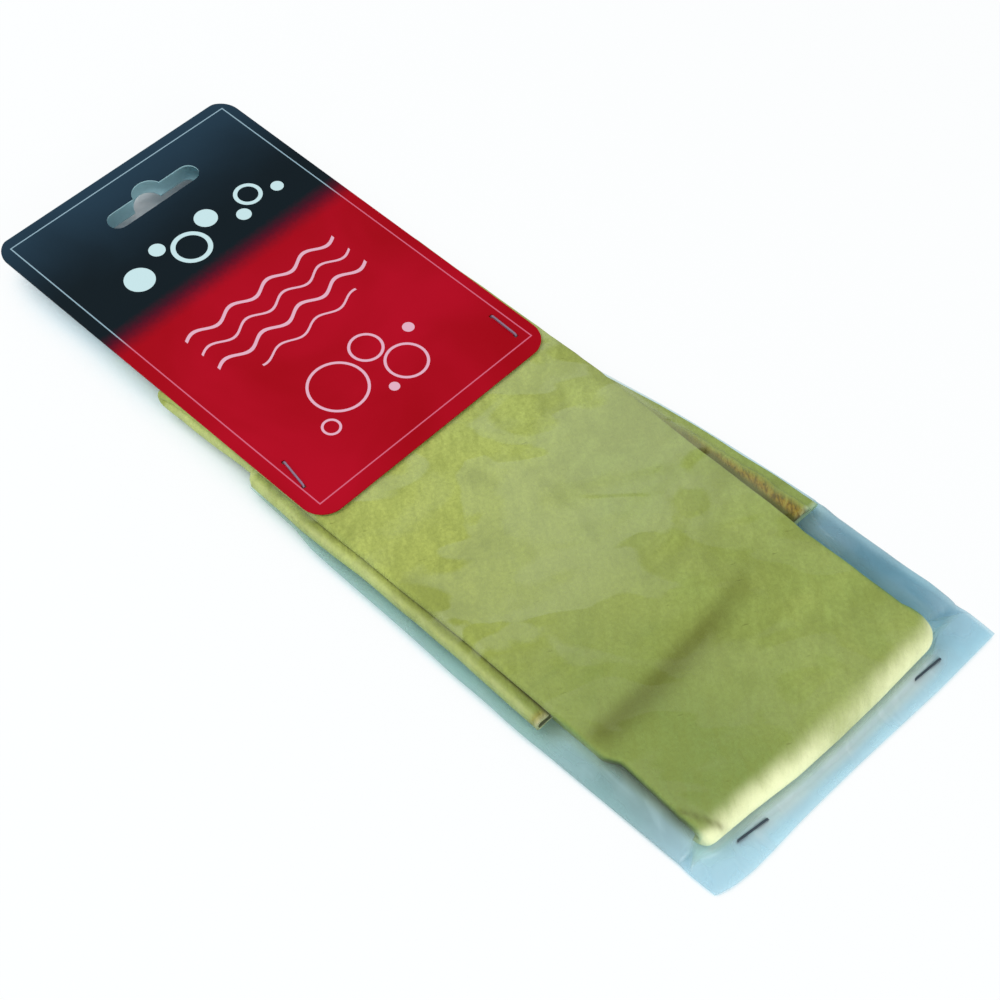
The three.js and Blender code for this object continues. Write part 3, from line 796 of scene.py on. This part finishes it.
def film_material():
    made, tree = material("clear_film")
    at = object_place(tree)
    veil = attribute(tree, "veil")
    painted_right_shade = attribute(tree, "painted_right_shade")
    leftward = attribute(tree, "leftward")
    pale = attribute(tree, "pale")
    up_along = add(tree, "ShaderNodeSeparateXYZ", {0: at}).outputs[1]

    # Haze: lobes where the film clings to the skin, and wrinkles in the margin beside it
    cling = cloud(tree, stretched(tree, at, (34, 66, 50), -0.7), 1.0, 2, 0.45, 0.6)
    drape = cloud(tree, stretched(tree, at, (26, 40, 30), -0.35), 1.3, 3, 0.5, 0.4)
    lobes = plus(tree, ramp(tree, cling, 0.495, 0.54, 0, 0.155), ramp(tree, drape, 0.47, 0.6, 0, 0.08))
    over_skin = times(tree, lobes, ramp(tree, up_along, -0.085, -0.045, 0.3, 1.0))
    over_skin = times(tree, over_skin, ramp(tree, veil, 0.005, 0.05, 1.0, 0.0))
    soft = ramp(tree, cloud(tree, at, 70, 2, 0.5, 0.4), 0.3, 0.7, 0.24, 0.4)
    wrinkle = cloud(tree, stretched(tree, at, (45, 150, 80), 1.35), 1.0, 3, 0.55, 0.6)
    margin = plus(tree, soft, ramp(tree, wrinkle, 0.52, 0.72, 0.0, 0.14))
    margin = plus(tree, margin, times(tree, pale, 0.28))
    haze = blend_value(tree, veil, over_skin, margin)

    # Tones: the fog of the haze, and the tint of what is seen through the film, with painted shade on the
    # right and painted shadow beside the skin
    fog = blend(tree, leftward, linear(198, 224, 238), linear(180, 206, 208))
    # painted shade on the right: darker fog and tint
    fog = blend(tree, painted_right_shade, fog, linear(146, 180, 192))
    fog = blend(tree, times(tree, pale, 0.7), fog, linear(220, 229, 226))
    fog = blend(tree, veil, linear(220, 229, 178), fog)
    glass = blend(tree, leftward, (0.9, 0.98, 1.0, 1), (0.82, 0.93, 0.92, 1))
    glass = blend(tree, painted_right_shade, glass, (0.64, 0.82, 0.88, 1))
    # painted shadow where the film hangs beside the skin
    glass = blend(tree, attribute(tree, "near"), glass, (0.22, 0.31, 0.24, 1))
    glass = blend(tree, ramp(tree, veil, 0.0, 0.25), (0.99, 0.99, 0.99, 1), glass)

    facing = add(tree, "ShaderNodeLayerWeight", {"Blend": 0.5}).outputs["Facing"]
    rim = times(tree, calc(tree, "POWER", facing, 4.0), 0.25)
    cover = calc(tree, "ADD", haze, rim, clamp=True)
    ripple = cloud(tree, at, 110, 2, 0.5, 0.5)
    body = add(tree, "ShaderNodeBsdfPrincipled", {
        "Base Color": fog, "Roughness": 0.2, "Specular IOR Level": 0.6,
        "Normal": bumped(tree, ripple, 0.2, 0.001),
    }).outputs[0]
    clear = add(tree, "ShaderNodeBsdfTransparent", {"Color": glass}).outputs[0]
    output(tree, add(tree, "ShaderNodeMixShader", {0: cover, 1: clear, 2: body}).outputs[0])
    return made


def card_motifs(tree, x, y):
    """Bubbles and waves of the print, as a mask."""
    flat = add(tree, "ShaderNodeCombineXYZ", {0: x, 1: y}).outputs[0]

    def bubble(across, below, radius, line=None):
        middle = ((across + x_shift) * MM, (top_y - below) * MM, 0)
        far = add(tree, "ShaderNodeVectorMath", {0: flat, 1: middle}, operation="DISTANCE").outputs["Value"]
        if line is None:
            return under(tree, far, radius * MM)
        return under(tree, away(tree, far, radius * MM), line / 2 * MM)

    def wave(below, half, height, length, line):
        across = calc(tree, "SUBTRACT", x, (CARD_SHIFT + x_shift) * MM)
        swing = calc(tree, "SINE", times(tree, across, 2 * math.pi / (length * MM)))
        middle = plus(tree, times(tree, swing, height * MM), (top_y - below) * MM)
        near = under(tree, away(tree, y, middle), line / 2 * MM)
        return times(tree, near, under(tree, calc(tree, "ABSOLUTE", across), half * MM))

    masks = [bubble(*motif) for motif in BUBBLES] + [wave(*motif) for motif in WAVES]
    mask = masks[0]
    for other in masks[1:]:
        mask = larger(tree, mask, other)
    return mask


def card_material():
    made, tree = material("printed_card")
    at = object_place(tree)
    x, y, z = add(tree, "ShaderNodeSeparateXYZ", {0: at}).outputs
    normal = add(tree, "ShaderNodeNewGeometry").outputs["True Normal"]
    facing = add(tree, "ShaderNodeSeparateXYZ", {0: normal}).outputs[2]
    speck = cloud(tree, at, 900, 3, 0.6)
    broad = cloud(tree, at, 22, 3, 0.5, 0.5)

    # Faces: the printed front, and the bare board inside the fold and in the slot's cut
    faces_up = over(tree, facing, 0.5)
    front = times(tree, faces_up, over(tree, z, FRONT_FACE_OVER * MM))
    inside_back = times(tree, faces_up, under(tree, z, INSIDE_BACK_UNDER * MM))
    inside_front = times(tree, under(tree, facing, -0.5), over(tree, z, INSIDE_FRONT_OVER * MM))
    slot_x = away(tree, x, (CARD_SHIFT + SLOT_SHIFT + x_shift) * MM)
    slot_y = away(tree, y, (top_y - SLOT_MIDDLE) * MM)
    in_width = under(tree, slot_x, SLOT_HALF_WIDTH * MM)
    in_slot = times(tree, in_width, under(tree, slot_y, SLOT_HALF_HEIGHT * MM))
    upright = under(tree, calc(tree, "ABSOLUTE", facing), 0.5)
    cut = times(tree, in_slot, upright)
    bare = larger(tree, larger(tree, inside_back, inside_front), cut)

    def change(value, ends):
        return ramp(tree, value, ends[0] * MM, ends[1] * MM)

    # Ground of the print: dark at the top and red below, with a soft change; the dark is lighter and bluer
    # near the top fold as a painted reflection
    down = plus(tree, calc(tree, "SUBTRACT", top_y * MM, y), times(tree, speck, 0.002))
    painted_glare = change(plus(tree, down, times(tree, broad, 0.02)), GLARE_FADES)
    dark = blend(tree, painted_glare, linear(36, 58, 74), linear(16, 27, 33))
    red = blend(tree, ramp(tree, broad, 0.3, 0.7), linear(158, 2, 18), linear(176, 6, 32))
    mixed = blend(tree, change(down, DARK_ENDS), dark, linear(74, 12, 32))
    ink = blend(tree, change(down, RED_STARTS), mixed, red)

    # Border line and motifs, tinted by the ground under them
    on_red = change(down, LINES_REDDEN)
    out_x = away(tree, x, (CARD_SHIFT + BORDER_SHIFT + x_shift) * MM)
    out_y = away(tree, y, (top_y - BORDER_MIDDLE) * MM)
    out_x = calc(tree, "SUBTRACT", out_x, BORDER_WIDTH / 2 * MM)
    out_y = calc(tree, "SUBTRACT", out_y, BORDER_HEIGHT / 2 * MM)
    rim = calc(tree, "ABSOLUTE", larger(tree, out_x, out_y))
    line = times(tree, under(tree, rim, BORDER_LINE / 2 * MM), front)
    ink = blend(tree, line, ink, blend(tree, on_red, linear(146, 172, 184), linear(208, 100, 124)))
    motif = times(tree, card_motifs(tree, x, y), front)
    bright = blend(tree, on_red, linear(206, 232, 234), linear(228, 180, 198))
    ink = blend(tree, times(tree, motif, 0.9), ink, bright)

    board = blend(tree, speck, linear(164, 204, 212), linear(188, 222, 230))
    colour = blend(tree, bare, ink, board)
    gloss = ramp(tree, broad, 0.3, 0.7, 0.4, 0.5)
    height = plus(tree, times(tree, speck, 0.2), broad)
    shader = add(tree, "ShaderNodeBsdfPrincipled", {
        "Base Color": colour, "Roughness": blend_value(tree, bare, gloss, 0.85),
        "Normal": bumped(tree, height, 0.08, 0.001), "Specular IOR Level": 0.05,
    })
    output(tree, shader.outputs[0])
    return made


def wire_material(name, tone, rough):
    made, tree = material(name)
    at = object_place(tree)
    drawn = cloud(tree, stretched(tree, at, (2500, 2500, 300), 0.1), 1.0, 3, 0.6)
    colour = blend(tree, drawn, linear(*[0.8 * c for c in tone]), linear(*tone))
    shader = add(tree, "ShaderNodeBsdfPrincipled", {
        "Base Color": colour, "Metallic": 0.5, "Roughness": ramp(tree, drawn, 0.3, 0.7, rough, rough + 0.15),
        "Normal": bumped(tree, drawn, 0.2, 0.0001),
    })
    output(tree, shader.outputs[0])
    return made


def floor_material():
    made, tree = material("pale_floor")
    at = object_place(tree)
    tone = blend(tree, cloud(tree, at, 6, 2), (0.78, 0.89, 0.92, 1), (0.82, 0.91, 0.94, 1))
    paper = add(tree, "ShaderNodeBsdfDiffuse", {"Color": tone}).outputs[0]
    white = add(tree, "ShaderNodeEmission", {"Color": (1, 1, 1, 1), "Strength": 1.0}).outputs[0]
    ray = add(tree, "ShaderNodeLightPath").outputs
    seen = larger(tree, larger(tree, ray["Is Camera Ray"], ray["Is Glossy Ray"]), ray["Is Transmission Ray"])
    sky = add(tree, "ShaderNodeAmbientOcclusion", {"Distance": 0.03}, samples=8).outputs["AO"]
    white_share = times(tree, seen, ramp(tree, sky, 0.35, 0.7, 0.0, 0.9))
    output(tree, add(tree, "ShaderNodeMixShader", {0: white_share, 1: paper, 2: white}).outputs[0])
    return made


def paint(obj, made):
    obj.data.materials.clear()
    obj.data.materials.append(made)


# Stage

def build_stage():
    corners = np.array([(-1, -1, 0), (1, -1, 0), (1, 1, 0), (-1, 1, 0)]) * FLOOR_HALF
    floor = mesh_object("floor", corners, [(0, 1, 2, 3)], smooth_shaded=False)
    paint(floor, floor_material())
    world = bpy.data.worlds.new("studio")
    world.use_nodes = True
    tree = world.node_tree
    tree.nodes.clear()
    ray = add(tree, "ShaderNodeLightPath").outputs["Is Camera Ray"]
    air = add(tree, "ShaderNodeBackground", {"Color": (0.9, 0.96, 1.0, 1), "Strength": 0.55}).outputs[0]
    white = add(tree, "ShaderNodeBackground", {"Color": (1, 1, 1, 1), "Strength": 1.0}).outputs[0]
    mixed = add(tree, "ShaderNodeMixShader", {0: ray, 1: air, 2: white}).outputs[0]
    add(tree, "ShaderNodeOutputWorld", {"Surface": mixed})
    bpy.context.scene.world = world


def area_light(name, at, target, size, power, colour):
    data = bpy.data.lights.new(name, "AREA")
    data.shape = "RECTANGLE"
    data.size = size[0]
    data.size_y = size[1]
    data.energy = power
    data.color = colour
    lamp = bpy.data.objects.new(name, data)
    lamp.location = at
    lamp.rotation_euler = (Vector(target) - Vector(at)).to_track_quat("-Z", "Y").to_euler()
    bpy.context.scene.collection.objects.link(lamp)


def build_camera():
    data = bpy.data.cameras.new("camera")
    data.lens = CAMERA_LENS
    data.sensor_width = CAMERA_SENSOR
    camera = bpy.data.objects.new("camera", data)
    turn = Matrix.Rotation(CAMERA_AZIMUTH, 4, "Z") @ Matrix.Rotation(math.pi / 2 - CAMERA_ELEVATION, 4, "X")
    camera.matrix_world = Matrix.Translation(CAMERA_AT) @ turn @ Matrix.Rotation(CAMERA_ROLL, 4, "Z")
    bpy.context.scene.collection.objects.link(camera)
    bpy.context.scene.camera = camera


build_camera()
build_stage()
area_light("foot_light", (-0.15, -0.8, 0.4), (0, -0.03, 0), (0.5, 0.35), 3.0, (1.0, 0.99, 0.95))
area_light("high_light", (-0.35, 0.42, 0.8), (0, 0.03, 0), (0.7, 0.7), 5.2, (0.97, 0.99, 1.0))
bpy.context.scene.view_settings.view_transform = "Standard"

skin = build_skin()
paint(skin, chamois_material())
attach(skin, "root")
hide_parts("chamois_skin")

film = build_film()
paint(film, film_material())
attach(film, "root")
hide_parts("film_sleeve")

paint(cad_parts["header_card"], card_material())
# the staple wire on the card is given a lighter pinkish tone, painted light with a painted reflection of the
# red card; the end staples keep a darker bluish tone of the same wire
card_wire_painted_light = wire_material("card_wire_painted_light", (164, 134, 158), 0.45)
end_wire = wire_material("end_wire", (74, 86, 98), 0.45)
paint(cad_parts["card_staple_left"], card_wire_painted_light)
paint(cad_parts["card_staple_right"], card_wire_painted_light)
paint(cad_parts["end_staple_left"], end_wire)
paint(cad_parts["end_staple_right"], end_wire)
